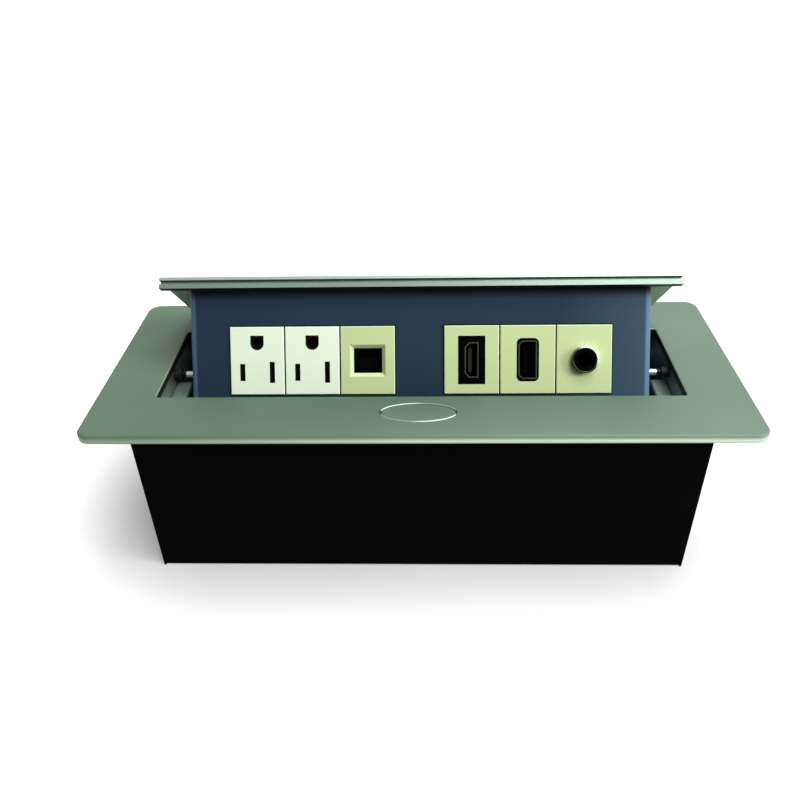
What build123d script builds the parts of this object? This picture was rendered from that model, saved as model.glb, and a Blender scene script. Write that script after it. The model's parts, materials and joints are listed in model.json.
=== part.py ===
from build123d import *
import math
import os

# Desk connectivity panel: a socket box that is let into a table top.
# A cradle with the lid and the socket panel swings out of a sheet-metal box below a cast frame.
# Millimetres. X runs along the frame, +Y points away from the user, +Z up.
# The origin is under the middle of the frame, on the surface that the box stands on.
# The cradle is modelled swung open. Its pieces are drawn in the directions of the closed cradle,
# measured from the hinge axis: "back" towards +Y and "up" towards +Z when the lid is shut.

os.makedirs("parts", exist_ok=True)

# Cover frame
frame_width = 270.0
frame_depth = 108.0
frame_thickness = 3.5
frame_corner_radius = 6.0
frame_edge_radius = 1.4
opening_width = 219.0
opening_depth = 54.0
opening_corner_radius = 1.2
opening_edge_radius = 0.6

# Sheet-metal box
box_width = 234.0
box_depth = 91.0
box_height = 77.0
sheet = 1.2
box_bend_radius = 1.6
box_lip = 4.0
end_return = 7.0
rivet_radius = 1.2
rivet_heights = (15.0, 60.0)

# Rim seal, a foam ring under the edge of the frame
seal_inset = 3.0
seal_gap = 1.2
seal_thickness = 0.8

# Hinge
open_angle = 43.5
pivot_back = 38.5
pivot_drop = 19.5
pin_radius = 2.0
running_clearance = 0.05
seat_clearance = 0.02

# Lid, an extrusion with a grooved nose
lid_gap = 0.5
lid_front_gap = 0.4
lid_skin = 1.8
lid_rear_bevel = 2.6
nose_height = 5.0
nose_depth = 3.5
groove_height = 1.6
groove_depth = 2.2
groove_drop = 1.5
rail_height = 2.0
front_rail_width = 8.0
front_rail_setback = 7.1
rear_rail_width = 4.0
rear_rail_from_edge = 14.0

# Socket panel, one bent sheet with a front and two cheeks
panel_width = 196.0
panel_length = 56.0
panel_tilt = 13.0
panel_setback = 4.7
panel_bend_radius = 3.4
flange_depth = 14.0
cheek_shoulder_gap = 0.3
neck_radius = 4.8
cheek_tail_drop = 14.0
cheek_tail_width = 10.0

# Socket modules, snapped into two windows of three
module_pitch = 23.6
module_width = 23.1
module_height = 28.9
module_proud = 1.0
module_face = 2.6
module_body_depth = 9.0
module_wall = 1.4
module_edge_radius = 0.4
module_drop = 32.75
socket_drop = 32.9
left_group_x = -45.2
right_group_x = 46.0
window_gap = 0.2
hook_reach = 0.7
hook_length = 8.0

# Mains outlets
blade_spacing = 12.7
blade_slot_width = 2.2
long_slot = 9.0
short_slot = 7.3
blade_drop = 4.95
ground_rise = 7.6
ground_width = 5.7
ground_height = 6.2
outlet_housing_depth = 17.0
contact_sheet = 0.6
contact_setback = 2.4
contact_depth = 9.6
terminal_depth = 6.0

# Data jack, behind a bevelled opening of its bezel
jack_mouth_width = 12.1
jack_mouth_height = 10.6
jack_bevel = 1.5
jack_body_width = 15.4
jack_body_height = 13.8
jack_depth = 13.4
jack_mouth_depth = 11.2
data_wires = 8
data_wire_pitch = 1.02
data_wire_width = 0.4

# Upright video socket
video_insert_width = 11.5
video_insert_height = 20.5
video_mouth_width = 5.8
video_mouth_height = 15.0
video_mouth_bevel = 1.9

# Second display socket, with a metal ring round its mouth
display_insert_width = 9.4
display_insert_height = 18.3
display_corner_radius = 2.2
display_ring_width = 7.7
display_ring_height = 16.1
display_ring_bevel = 1.6

# Both video sockets
insert_setback = 0.3
insert_depth = 12.0
mouth_depth = 10.0
shell_wall = 0.45
tongue_thickness = 1.6
tongue_setback = 2.0

# Audio jack
audio_nut_radius = 5.6
audio_nut_height = 3.0
audio_neck_radius = 4.8
audio_neck_height = 2.0
audio_bore_radius = 3.2
audio_barrel_radius = 4.9
audio_barrel_length = 19.0

# Push button and its latch
button_length = 30.0
button_width = 11.6
button_cap = 2.0
button_edge_radius = 0.5
button_gap = 0.25
button_y = -38.4
button_stem_length = 26.0
button_stem_width = 8.0
button_flange_length = 36.0
button_flange_width = 8.0
button_flange = 1.5
button_rest_gap = 0.1
button_foot_length = 10.0
button_foot_width = 3.0
button_foot_height = 4.6
guide_wall = 1.4
guide_rear_wall = 2.8
guide_height = 20.0
guide_play = 0.3
guide_ear = 4.9
guide_screw_x = 21.8
latch_width = 12.0
latch_sheet = 0.6
latch_reach = 1.3
latch_arm = 9.7
latch_arm_drop = 6.5
latch_tip_rise = 1.5
latch_rivet_x = 3.2

# Brackets beside the cradle
bracket_side_gap = 0.5
bracket_sheet = 1.5
bracket_depth = 43.0
bracket_slope_length = 24.0
bracket_flange = 5.5
bracket_rear_gap = 0.3
bracket_screw_places = (-21.0, 8.0, 37.0)
ledge_width = 7.0
ledge_drop = 12.0
ledge_length = 29.0
ledge_leg = 10.5

# Guide pins, fixed to the brackets, that run in curved slots of the cheeks
guide_pin_radius = 1.4
guide_pin_back = 0.5
guide_pin_drop = 6.7
guide_slot_gap = 0.15
spacer_radius = 2.3
spacer_length = 3.6

# Torsion springs
stud_radius = 1.3
stud_orbit = 27.0
stud_angle = 190.0
stud_length = 5.6
wire_radius = 0.7
coil_radius = 4.2
coil_pitch = 1.9
coil_turns = 3.5
coil_side_gap = 3.9

# Damper with a pinion that runs on a toothed sector of the left cheek
gear_module = 0.5
sector_teeth = 56
pinion_teeth = 16
mesh_direction = 235.0
gear_play = 0.14
sector_thickness = 2.2
sector_run_teeth = 8
sector_rivet_orbit = 9.0
pinion_width = 1.8
damper_radius = 7.0
damper_length = 8.5
damper_ear_spacing = 19.0
damper_ear_width = 6.0
damper_shaft_radius = 1.2
damper_shaft_length = 4.9
damper_bore_depth = 4.0

# Cable outlets in the rear wall
gland_x = -70.0
gland_z = 24.0
gland_bore_radius = 4.0
gland_thread_radius = 8.0
gland_thread_length = 9.0
gland_hex = 22.0
gland_dome_radius = 9.8
grommet_x = 50.0
grommet_z = 24.0
grommet_length = 56.0
grommet_height = 20.0
grommet_wall = 3.0
grommet_flange = 1.5

# Fixing holes in the end plates
fixing_radius = 2.2
fixing_spacing = 50.0
fixing_z = 60.0

# Screws
screw_radius = 1.0
screw_head_radius = 1.9
screw_head_height = 1.4
frame_screw_depth = 2.4
lip_screw_places = (-95.0, -35.0, 35.0, 95.0)
lid_screw_places = (-85.0, -30.0, 30.0, 85.0)
lid_screw_depth = 2.8

# Values that follow from the sizes above
frame_top = box_height + frame_thickness
pivot_z = frame_top - pivot_drop
turn = math.radians(open_angle)
tilt = math.radians(panel_tilt)
lid_top = pivot_drop
lid_under = lid_top - lid_skin
rail_under = lid_under - rail_height
lid_front = -opening_depth / 2 + lid_front_gap - pivot_back
lid_rear = opening_depth / 2 - lid_gap - pivot_back
panel_top_front = lid_front + panel_setback
panel_bottom = lid_under - panel_length * math.cos(tilt)
half_panel = panel_width / 2
half_lid = opening_width / 2 - lid_gap
box_front = -box_depth / 2
box_rear = box_depth / 2
shell_half = box_width / 2 - sheet
lip_edge = box_rear - sheet - box_lip
lip_middle = box_rear - sheet - box_lip / 2
rivet_x = shell_half - end_return / 2
rivets_at = [(side * rivet_x, z) for side in (-1, 1) for z in rivet_heights]
bracket_x = opening_width / 2 + bracket_side_gap
bracket_screw_x = bracket_x + bracket_sheet + screw_head_radius + 0.2
coil_start_x = half_panel + coil_side_gap


def in_space(back, up, x=0.0):
    """Places a point of the closed cradle, measured from the hinge axis, in the opened pose."""
    y = pivot_back + back * math.cos(turn) + up * math.sin(turn)
    z = pivot_z - back * math.sin(turn) + up * math.cos(turn)
    return Vector(x, y, z)


def from_space(y, z):
    """The closed cradle's back and up of a point that is given in space."""
    a = y - pivot_back
    b = z - pivot_z
    return (a * math.cos(turn) - b * math.sin(turn), a * math.sin(turn) + b * math.cos(turn))


def panel_front(up):
    """How far back the front of the socket panel lies at a height of the closed cradle."""
    return panel_top_front + (lid_under - up) * math.tan(tilt)


cradle_side = Plane(
    origin=in_space(0, 0),
    x_dir=(0, math.cos(turn), -math.sin(turn)),
    z_dir=(1, 0, 0),
)
cradle_up = in_space(0, 1) - in_space(0, 0)
face_out = in_space(-math.cos(tilt), -math.sin(tilt)) - in_space(0, 0)
face = Plane(
    origin=in_space(panel_top_front, lid_under),
    x_dir=(1, 0, 0),
    z_dir=face_out,
)
face_axis = Axis(in_space(0, 0), face_out)
rear_wall = Plane(origin=(0, box_rear, 0), x_dir=(-1, 0, 0), z_dir=(0, 1, 0))


def save(builder, name):
    """Labels a finished piece and writes it to its own file."""
    builder.part.label = name
    export_step(builder.part, f"parts/{name}.step")


def save_screws(name, seat, places, length):
    """A group of screws that pass up through a seat plane, with their heads below it."""
    with BuildPart() as screws:
        with BuildSketch(seat):
            with Locations(*places):
                Circle(screw_radius - seat_clearance)
        extrude(amount=length)
        with BuildSketch(seat):
            with Locations(*places):
                Circle(screw_head_radius)
        extrude(amount=-screw_head_height)
        depth_axis = Axis(seat.origin, seat.z_dir)
        ends = screws.faces().group_by(depth_axis)[0]
        fillet(ends.edges(), radius=screw_head_height * 0.35)
    save(screws, name)


# Cover frame: a cast plate with the opening, the button's oval hole and a slot for the latch
latch_front = button_y + button_flange_width / 2 + guide_play + guide_rear_wall
latch_slot_height = latch_tip_rise + latch_sheet

with BuildPart() as top_frame:
    with BuildSketch(Plane.XY.offset(box_height)):
        RectangleRounded(frame_width, frame_depth, frame_corner_radius)
        RectangleRounded(opening_width, opening_depth, opening_corner_radius, mode=Mode.SUBTRACT)
        with Locations((0, button_y)):
            Ellipse(
                button_length / 2 + button_gap,
                button_width / 2 + button_gap,
                mode=Mode.SUBTRACT,
            )
    extrude(amount=frame_thickness)
    fillet(top_frame.faces().sort_by(Axis.Z)[-1].outer_wire().edges(), radius=frame_edge_radius)
    rim = top_frame.edges().filter_by(
        lambda e: abs(e.center().Z - frame_top) < 0.01
        and abs(abs(e.center().Y) - opening_depth / 2) < 0.01
        and e.length > opening_width / 2
    )
    fillet(rim, radius=opening_edge_radius)
    with BuildSketch(Plane.XY.offset(box_height)):
        with Locations((0, (latch_front - opening_depth / 2) / 2)):
            Rectangle(latch_width + 1.6, -opening_depth / 2 - latch_front + 0.3 * 2)
    extrude(amount=latch_slot_height, mode=Mode.SUBTRACT)
    with BuildSketch(Plane.XY.offset(box_height)):
        with Locations((-guide_screw_x, button_y), (guide_screw_x, button_y)):
            Circle(screw_radius)
        for side in (-1, 1):
            with Locations(*[(side * bracket_screw_x, y) for y in bracket_screw_places]):
                Circle(screw_radius)
            with Locations(*[(x, side * lip_middle) for x in lip_screw_places]):
                Circle(screw_radius)
    extrude(amount=frame_screw_depth, mode=Mode.SUBTRACT)

save(top_frame, "top_frame")


# Box shell: one sheet bent into front wall, floor and rear wall, with a lip along each top edge
lip_cut = 2 * (guide_screw_x + screw_head_radius + 2.0)

with BuildPart() as box_shell:
    with BuildSketch(Plane.YZ):
        with BuildLine():
            Polyline(
                (-lip_edge, box_height),
                (box_front, box_height),
                (box_front, 0),
                (box_rear, 0),
                (box_rear, box_height),
                (lip_edge, box_height),
                (lip_edge, box_height - sheet),
                (box_rear - sheet, box_height - sheet),
                (box_rear - sheet, sheet),
                (box_front + sheet, sheet),
                (box_front + sheet, box_height - sheet),
                (-lip_edge, box_height - sheet),
                close=True,
            )
        make_face()
    extrude(amount=shell_half, both=True)
    outer_bends = box_shell.edges().filter_by(Axis.X).filter_by(
        lambda e: abs(e.center().Z) < 0.01 and abs(abs(e.center().Y) - box_rear) < 0.01
    )
    fillet(outer_bends, radius=box_bend_radius)
    with BuildSketch(Plane.XY.offset(box_height)):
        with Locations((0, box_front + sheet + box_lip / 2 + 0.1)):
            Rectangle(lip_cut, box_lip + 0.2)
        for side in (-1, 1):
            with Locations(*[(x, side * lip_middle) for x in lip_screw_places]):
                Circle(screw_radius)
    extrude(amount=-sheet * 2, mode=Mode.SUBTRACT)
    with BuildSketch(rear_wall):
        with Locations((-gland_x, gland_z)):
            Circle(gland_thread_radius + seat_clearance)
        with Locations((-grommet_x, grommet_z)):
            SlotOverall(grommet_length, grommet_height)
        with Locations(*rivets_at):
            Circle(rivet_radius)
    extrude(amount=-sheet * 2, mode=Mode.SUBTRACT)

save(box_shell, "box_shell")


# End plates close the shell, each a sheet with a return along its floor, front and rear edges
inner_depth = box_depth - 2 * sheet
for side, name in ((-1, "left"), (1, "right")):
    with BuildPart() as end_plate:
        with BuildSketch(Plane.YZ.offset(side * box_width / 2)):
            with Locations((0, box_height / 2)):
                Rectangle(box_depth, box_height)
        extrude(amount=-side * sheet)
        with BuildSketch(Plane.YZ.offset(side * shell_half)):
            with Locations((0, box_height / 2)):
                Rectangle(inner_depth, box_height - 2 * sheet)
            with Locations((0, box_height / 2 + sheet)):
                Rectangle(inner_depth - 2 * sheet, box_height - 2 * sheet, mode=Mode.SUBTRACT)
        extrude(amount=-side * end_return)
        bends = end_plate.edges().filter_by(Axis.Z).filter_by(
            lambda e: abs(abs(e.center().X) - box_width / 2) < 0.01
        )
        fillet(bends, radius=sheet * 0.8)
        with BuildSketch(Plane.YZ.offset(side * box_width / 2)):
            with Locations((-fixing_spacing / 2, fixing_z), (fixing_spacing / 2, fixing_z)):
                Circle(fixing_radius)
        extrude(amount=-side * sheet * 2, mode=Mode.SUBTRACT)
        with BuildSketch(rear_wall):
            with Locations(*rivets_at):
                Circle(rivet_radius)
        extrude(amount=-sheet * 3, mode=Mode.SUBTRACT)
    save(end_plate, f"{name}_end_plate")

with BuildPart() as shell_rivets:
    with BuildSketch(rear_wall):
        with Locations(*rivets_at):
            Circle(rivet_radius - seat_clearance)
    extrude(amount=-sheet * 2)
    with BuildSketch(rear_wall):
        with Locations(*rivets_at):
            Circle(rivet_radius * 1.7)
    extrude(amount=0.8)
    heads = shell_rivets.edges().filter_by(lambda e: abs(e.center().Y - box_rear - 0.8) < 0.01)
    fillet(heads, radius=0.4)

save(shell_rivets, "shell_rivets")

# Rim seal: it lies on the table top round the cut-out
with BuildPart() as rim_seal:
    with BuildSketch(Plane.XY.offset(box_height)):
        RectangleRounded(
            frame_width - 2 * seal_inset,
            frame_depth - 2 * seal_inset,
            frame_corner_radius / 2,
        )
        Rectangle(box_width + 2 * seal_gap, box_depth + 2 * seal_gap, mode=Mode.SUBTRACT)
    extrude(amount=-seal_thickness)

save(rim_seal, "rim_seal")


# Brackets: a hanging wall at each end of the opening, folded out under the frame
bracket_rear = box_rear - 2 * sheet - bracket_rear_gap
bracket_front = -opening_depth / 2
flange_rear = lip_edge - bracket_rear_gap
bracket_low = box_height - bracket_depth
ledge_top = frame_top - ledge_drop
guide_pin_z = frame_top - guide_pin_drop
guide_pin_at = (guide_pin_back, guide_pin_z)
damper_reach = gear_module * (sector_teeth + pinion_teeth) / 2
damper_back = pivot_back + damper_reach * math.cos(math.radians(mesh_direction))
damper_z = pivot_z + damper_reach * math.sin(math.radians(mesh_direction))
damper_ears = [
    (damper_back - damper_ear_spacing / 2, damper_z),
    (damper_back + damper_ear_spacing / 2, damper_z),
]

# The springs lie below their studs; "lean" is the angle of the spring leg's own direction
stud_side = coil_radius - wire_radius - stud_radius - running_clearance
coil_turned = stud_angle - open_angle + 90 - math.degrees(math.asin(stud_side / stud_orbit))
tail_angle = math.radians(coil_turned + 360 * coil_turns)
tail_at = (
    pivot_back + coil_radius * math.cos(tail_angle),
    pivot_z + coil_radius * math.sin(tail_angle),
)

for side, name in ((-1, "left"), (1, "right")):
    with BuildPart() as bracket:
        with BuildSketch(Plane.YZ.offset(side * bracket_x)):
            with BuildLine():
                Polyline(
                    (bracket_front, box_height),
                    (bracket_front, ledge_top - ledge_leg - 3.0),
                    (bracket_front + bracket_slope_length, bracket_low),
                    (bracket_rear, bracket_low),
                    (bracket_rear, box_height - 8.0),
                    (flange_rear, box_height - 5.0),
                    (flange_rear, box_height),
                    close=True,
                )
            make_face()
            with Locations((pivot_back, pivot_z)):
                Circle(pin_radius + seat_clearance, mode=Mode.SUBTRACT)
            with Locations(guide_pin_at):
                Circle(guide_pin_radius + seat_clearance, mode=Mode.SUBTRACT)
            with Locations(tail_at):
                Circle(wire_radius + running_clearance, mode=Mode.SUBTRACT)
            if side < 0:
                with Locations(*damper_ears):
                    Circle(screw_radius, mode=Mode.SUBTRACT)
        extrude(amount=side * bracket_sheet)
        with BuildSketch(Plane.XY.offset(box_height)):
            with Locations(
                (side * (bracket_x + bracket_flange / 2), (bracket_front + flange_rear) / 2)
            ):
                Rectangle(bracket_flange, flange_rear - bracket_front)
        extrude(amount=-bracket_sheet)
        bend = bracket.edges().filter_by(Axis.Y).filter_by(
            lambda e: abs(abs(e.center().X) - bracket_x) < 0.01
            and abs(e.center().Z - box_height) < 0.01
        )
        fillet(bend, radius=bracket_sheet * 0.8)
        with BuildSketch(Plane.XY.offset(box_height)):
            with Locations(*[(side * bracket_screw_x, y) for y in bracket_screw_places]):
                Circle(screw_radius)
        extrude(amount=-bracket_sheet, mode=Mode.SUBTRACT)
        with BuildSketch(Plane.YZ.offset(side * bracket_x)):
            with Locations(guide_pin_at):
                Circle(guide_pin_radius + seat_clearance)
        extrude(amount=side * bracket_sheet, mode=Mode.SUBTRACT)
    save(bracket, f"{name}_bracket")

    with BuildPart() as ledge:
        with BuildSketch(Plane.XZ.offset(-bracket_front)):
            with BuildLine():
                Polyline(
                    (side * (bracket_x - ledge_width), ledge_top),
                    (side * bracket_x, ledge_top),
                    (side * bracket_x, ledge_top - ledge_leg),
                    (side * (bracket_x - bracket_sheet), ledge_top - ledge_leg),
                    (side * (bracket_x - bracket_sheet), ledge_top - bracket_sheet),
                    (side * (bracket_x - ledge_width), ledge_top - bracket_sheet),
                    close=True,
                )
            make_face()
        extrude(amount=-ledge_length)
        rounded = ledge.edges().filter_by(Axis.Y).filter_by(
            lambda e: abs(e.center().Z - ledge_top) < 0.01
        )
        fillet(rounded, radius=bracket_sheet * 0.6)
    save(ledge, f"{name}_ledge")

    with BuildPart() as pivot_pin:
        with BuildSketch(Plane.YZ.offset(side * (half_panel - 3.0))):
            with Locations((pivot_back, pivot_z)):
                Circle(pin_radius)
        extrude(amount=side * (bracket_x + bracket_sheet - half_panel + 3.0))
        with BuildSketch(Plane.YZ.offset(side * (bracket_x + bracket_sheet))):
            with Locations((pivot_back, pivot_z)):
                Circle(pin_radius * 1.7)
        extrude(amount=side * bracket_sheet)
        chamfer(pivot_pin.faces().sort_by(Axis.X)[0].edges(), length=0.4)
        chamfer(pivot_pin.faces().sort_by(Axis.X)[-1].edges(), length=0.4)
    save(pivot_pin, f"{name}_pivot_pin")

    with BuildPart() as guide_pin:
        with BuildSketch(Plane.YZ.offset(side * (half_panel - 2.8))):
            with Locations(guide_pin_at):
                Circle(guide_pin_radius)
        extrude(amount=side * (bracket_x + bracket_sheet - half_panel + 2.8))
        chamfer(guide_pin.faces().sort_by(Axis.X)[0 if side > 0 else -1].edges(), length=0.3)
    save(guide_pin, f"{name}_guide_pin")

with BuildPart() as pivot_clips:
    for side in (-1, 1):
        with BuildSketch(Plane.YZ.offset(side * (half_panel - sheet - 0.1))):
            with Locations((pivot_back, pivot_z)):
                Circle(pin_radius * 1.8)
                Circle(pin_radius + seat_clearance, mode=Mode.SUBTRACT)
            with Locations((pivot_back, pivot_z - pin_radius * 1.8)):
                Rectangle(pin_radius * 1.2, pin_radius * 2.4, mode=Mode.SUBTRACT)
        extrude(amount=-side * 0.7)

save(pivot_clips, "pivot_clips")

with BuildPart() as guide_spacers:
    for side in (-1, 1):
        with BuildSketch(Plane.YZ.offset(side * bracket_x)):
            with Locations(guide_pin_at):
                Circle(spacer_radius)
                Circle(guide_pin_radius + seat_clearance, mode=Mode.SUBTRACT)
        extrude(amount=-side * spacer_length)

save(guide_spacers, "guide_spacers")


# Torsion springs: a coil round each pivot pin, a leg under the stud and a tail in the bracket
leg_length = stud_orbit + 3.0
coil_height = coil_pitch * coil_turns
tail_turn = 360 * coil_turns

for side, name in ((-1, "left"), (1, "right")):
    coil_plane = Plane(
        origin=(coil_start_x, pivot_back, pivot_z),
        x_dir=(0, math.cos(math.radians(coil_turned)), math.sin(math.radians(coil_turned))),
        z_dir=(1, 0, 0),
    )
    with BuildPart() as coil:
        with BuildLine() as coil_line:
            Helix(pitch=coil_pitch, height=coil_height, radius=coil_radius)
        with BuildSketch(Plane(origin=coil_line.line @ 0, z_dir=coil_line.line % 0)):
            Circle(wire_radius)
        sweep(is_frenet=True)
        with BuildSketch(Plane(origin=(coil_radius, 0, 0), x_dir=(1, 0, 0), z_dir=(0, -1, 0))):
            Circle(wire_radius)
        extrude(amount=leg_length)
        with Locations((coil_radius, 0, 0)):
            Sphere(wire_radius)
        with BuildSketch(Plane.XY.offset(coil_height)):
            with PolarLocations(coil_radius, 1, start_angle=tail_turn % 360):
                Circle(wire_radius)
        extrude(amount=bracket_x + bracket_sheet - coil_start_x - coil_height)
        with Locations(Plane.XY.offset(coil_height)):
            with PolarLocations(coil_radius, 1, start_angle=tail_turn % 360):
                Sphere(wire_radius)
    placed = coil_plane.location * coil.part
    with BuildPart() as spring:
        add(placed if side > 0 else placed.mirror(Plane.YZ))
    save(spring, f"{name}_torsion_spring")


# Toothed sector on the left cheek and the pinion of the damper
def gear_points(teeth, middle, first, last):
    """Corner points of a run of involute teeth round the origin; angles in radians."""
    pitch_radius = gear_module * teeth / 2
    pressure = math.radians(20)
    base_radius = pitch_radius * math.cos(pressure)
    root_radius = pitch_radius - 1.25 * gear_module
    tip_radius = pitch_radius + 0.85 * gear_module
    half_tooth = (math.pi * gear_module - gear_play) / (4 * pitch_radius)
    half_tooth = half_tooth + math.tan(pressure) - pressure
    low_radius = max(root_radius, base_radius)
    flank = []
    if base_radius > root_radius:
        flank.append((root_radius, half_tooth))
    for step in range(4):
        radius = low_radius + (tip_radius - low_radius) * step / 3
        slope = math.acos(min(1.0, base_radius / radius))
        flank.append((radius, half_tooth - math.tan(slope) + slope))
    points = []
    for tooth in range(first, last + 1):
        centre = middle + tooth * 2 * math.pi / teeth
        for radius, half in flank:
            points.append((radius * math.cos(centre - half), radius * math.sin(centre - half)))
        for radius, half in reversed(flank):
            points.append((radius * math.cos(centre + half), radius * math.sin(centre + half)))
    return points


cheek_x = -half_panel
sector_middle = math.radians(mesh_direction + open_angle)
pinion_middle = math.radians(mesh_direction - 180 + 180 / pinion_teeth)
sector_rivets_at = [
    (
        sector_rivet_orbit * math.cos(sector_middle + math.radians(a)),
        sector_rivet_orbit * math.sin(sector_middle + math.radians(a)),
    )
    for a in (-36, -6)
]
pinion_x = cheek_x - 0.5

with BuildPart() as gear_sector:
    with BuildSketch(cradle_side.offset(cheek_x)):
        with BuildLine():
            Polyline(
                (0, 0),
                *gear_points(sector_teeth, sector_middle, -sector_run_teeth, 1),
                close=True,
            )
        make_face()
        Circle(neck_radius - 0.2)
        Circle(pin_radius + running_clearance, mode=Mode.SUBTRACT)
        with Locations(*sector_rivets_at):
            Circle(screw_radius, mode=Mode.SUBTRACT)
    extrude(amount=-sector_thickness)

save(gear_sector, "gear_sector")

with BuildPart() as sector_rivets:
    with BuildSketch(cradle_side.offset(cheek_x - sector_thickness)):
        with Locations(*sector_rivets_at):
            Circle(screw_radius - seat_clearance)
    extrude(amount=sector_thickness + sheet)
    with BuildSketch(cradle_side.offset(cheek_x + sheet)):
        with Locations(*sector_rivets_at):
            Circle(screw_radius * 1.8)
    extrude(amount=0.7)

save(sector_rivets, "sector_rivets")

pinion_side = Plane(
    origin=(pinion_x, damper_back, damper_z),
    x_dir=(0, 1, 0),
    z_dir=(1, 0, 0),
)

with BuildPart() as damper_pinion:
    with BuildSketch(pinion_side):
        with BuildLine():
            Polyline(*gear_points(pinion_teeth, pinion_middle, 0, pinion_teeth - 1), close=True)
        make_face()
    extrude(amount=-pinion_width)
    with BuildSketch(pinion_side.offset(-pinion_width)):
        Circle(damper_shaft_radius)
    extrude(amount=-damper_shaft_length)

save(damper_pinion, "damper_pinion")

damper_front_x = -bracket_x + damper_length

with BuildPart() as damper_body:
    with BuildSketch(Plane.YZ.offset(-bracket_x)):
        with Locations((damper_back, damper_z)):
            Circle(damper_radius)
    extrude(amount=damper_length)
    chamfer(damper_body.faces().sort_by(Axis.X)[-1].edges(), length=0.8)
    with BuildSketch(Plane.YZ.offset(-bracket_x)):
        with Locations((damper_back, damper_z)):
            SlotOverall(damper_ear_spacing + damper_ear_width, damper_ear_width)
        with Locations(*damper_ears):
            Circle(screw_radius, mode=Mode.SUBTRACT)
    extrude(amount=bracket_sheet)
    with BuildSketch(Plane.YZ.offset(damper_front_x)):
        with Locations((damper_back, damper_z)):
            Circle(damper_shaft_radius + running_clearance)
    extrude(amount=-damper_bore_depth, mode=Mode.SUBTRACT)

save(damper_body, "damper_body")


# Push button: an oval cap and stem, a flange that stops it under the frame, and a foot
flange_top = box_height - button_rest_gap
with BuildPart() as button:
    with BuildSketch(Plane.XY.offset(frame_top)):
        with Locations((0, button_y)):
            Ellipse(button_length / 2, button_width / 2)
    extrude(amount=-button_cap)
    fillet(button.faces().sort_by(Axis.Z)[-1].edges(), radius=button_edge_radius)
    with BuildSketch(Plane.XY.offset(flange_top)):
        with Locations((0, button_y)):
            Ellipse(button_stem_length / 2, button_stem_width / 2)
    extrude(amount=frame_top - button_cap - flange_top)
    with BuildSketch(Plane.XY.offset(flange_top)):
        with Locations((0, button_y)):
            RectangleRounded(button_flange_length, button_flange_width, 1.5)
    extrude(amount=-button_flange)
    with BuildSketch(Plane.XY.offset(flange_top - button_flange)):
        with Locations((0, button_y)):
            Rectangle(button_foot_length, button_foot_width)
    extrude(amount=-button_foot_height)

save(button, "button")

# Button guide: an open tray under the frame that the flange slides in
guide_low = box_height - guide_height
cavity_half = button_flange_length / 2 + guide_play
cavity_front = button_y - button_flange_width / 2 - guide_play
cavity_rear = button_y + button_flange_width / 2 + guide_play
guide_front = cavity_front - guide_wall
guide_half = cavity_half + guide_wall
arm_window = latch_width + 2.0

with BuildPart() as button_guide:
    with BuildSketch(Plane.XY.offset(guide_low)):
        with Locations((0, (guide_front + latch_front) / 2)):
            Rectangle(2 * guide_half, latch_front - guide_front)
    extrude(amount=guide_height)
    with BuildSketch(Plane.XY.offset(box_height)):
        with Locations((0, button_y)):
            Rectangle(2 * (guide_half + guide_ear), button_flange_width - 1.0)
    extrude(amount=-bracket_sheet)
    with BuildSketch(Plane.XY.offset(box_height)):
        with Locations((0, (cavity_front + cavity_rear) / 2)):
            Rectangle(2 * cavity_half, cavity_rear - cavity_front)
    extrude(amount=guide_wall - guide_height, mode=Mode.SUBTRACT)
    with BuildSketch(Plane.XY.offset(box_height)):
        with Locations((0, button_y)):
            Rectangle(button_length + 2.4, box_depth / 4)
    extrude(amount=-1.1, mode=Mode.SUBTRACT)
    with BuildSketch(Plane.XY.offset(box_height)):
        with Locations((0, latch_front - guide_rear_wall / 2)):
            Rectangle(arm_window, guide_rear_wall + 0.2)
    extrude(amount=-(guide_height - 6.5), mode=Mode.SUBTRACT)
    with BuildSketch(Plane.XY.offset(box_height)):
        with Locations((-guide_screw_x, button_y), (guide_screw_x, button_y)):
            Circle(screw_radius)
    extrude(amount=-bracket_sheet, mode=Mode.SUBTRACT)
    with BuildSketch(Plane.XZ.offset(-latch_front)):
        with Locations((-latch_rivet_x, guide_low + 3.5), (latch_rivet_x, guide_low + 3.5)):
            Circle(screw_radius)
    extrude(amount=guide_rear_wall + 0.2, mode=Mode.SUBTRACT)

save(button_guide, "button_guide")

# Latch: a leaf spring with an arm under the button's foot and a tip that enters the lid's groove
leaf_back = latch_front + latch_sheet
arm_top = box_height - latch_arm_drop
tip_low = frame_top - groove_drop - groove_height + 0.5
tip_back = -opening_depth / 2 + latch_reach

with BuildPart() as latch_leaf:
    with BuildSketch(Plane.YZ):
        with BuildLine():
            Polyline(
                (latch_front, guide_low + 1.0),
                (latch_front, arm_top - latch_sheet),
                (latch_front - latch_arm, arm_top - latch_sheet),
                (latch_front - latch_arm, arm_top),
                (latch_front, arm_top),
                (latch_front, tip_low + latch_sheet),
                (tip_back, tip_low + latch_sheet),
                (tip_back, tip_low),
                (leaf_back, tip_low),
                (leaf_back, guide_low + 1.0),
                close=True,
            )
        make_face()
    extrude(amount=latch_width / 2, both=True)
    with BuildSketch(Plane.XZ.offset(-leaf_back)):
        with Locations((-latch_rivet_x, guide_low + 3.5), (latch_rivet_x, guide_low + 3.5)):
            Circle(screw_radius)
    extrude(amount=latch_sheet, mode=Mode.SUBTRACT)

save(latch_leaf, "latch_leaf")

with BuildPart() as latch_rivets:
    for x in (-latch_rivet_x, latch_rivet_x):
        with BuildSketch(Plane.XZ.offset(-leaf_back)):
            with Locations((x, guide_low + 3.5)):
                Circle(screw_radius - seat_clearance)
        extrude(amount=latch_sheet + guide_rear_wall)
        with BuildSketch(Plane.XZ.offset(-leaf_back)):
            with Locations((x, guide_low + 3.5)):
                Circle(screw_radius * 1.7)
        extrude(amount=-0.7)

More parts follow.
